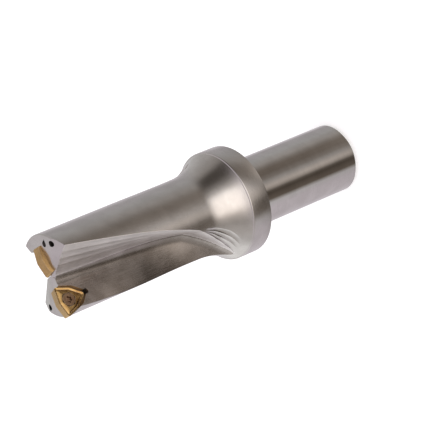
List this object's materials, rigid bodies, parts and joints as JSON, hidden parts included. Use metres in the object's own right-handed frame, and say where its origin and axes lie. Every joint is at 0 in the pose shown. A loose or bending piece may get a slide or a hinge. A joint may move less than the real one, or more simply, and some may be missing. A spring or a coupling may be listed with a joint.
{
  "type": "indexable drill",
  "caption": "Short indexable drill with a round shank, flange and hollow cone, helical flutes and screwed-on trigon inserts.",
  "frame": {"origin": "centre of the shank's rear end, which the drill stands on", "axes": "+Z along the drill's axis towards the tip; at the tip +X points to the outer insert and +Y is its rake face's normal"},
  "size_m": [0.0396, 0.0396, 0.1344],
  "materials": {
    "satin_steel": "satin nickel on steel, with a ground and polished shank",
    "gold_coating": "gold-coloured hard coating on sintered carbide",
    "screw_steel": "dark blackened steel"
  },
  "bodies": {
    "root": {"drill_body": "satin_steel", "outer_insert": "gold_coating", "inner_insert": "gold_coating", "outer_screw": "screw_steel", "inner_screw": "screw_steel"}
  },
  "joints": []
}
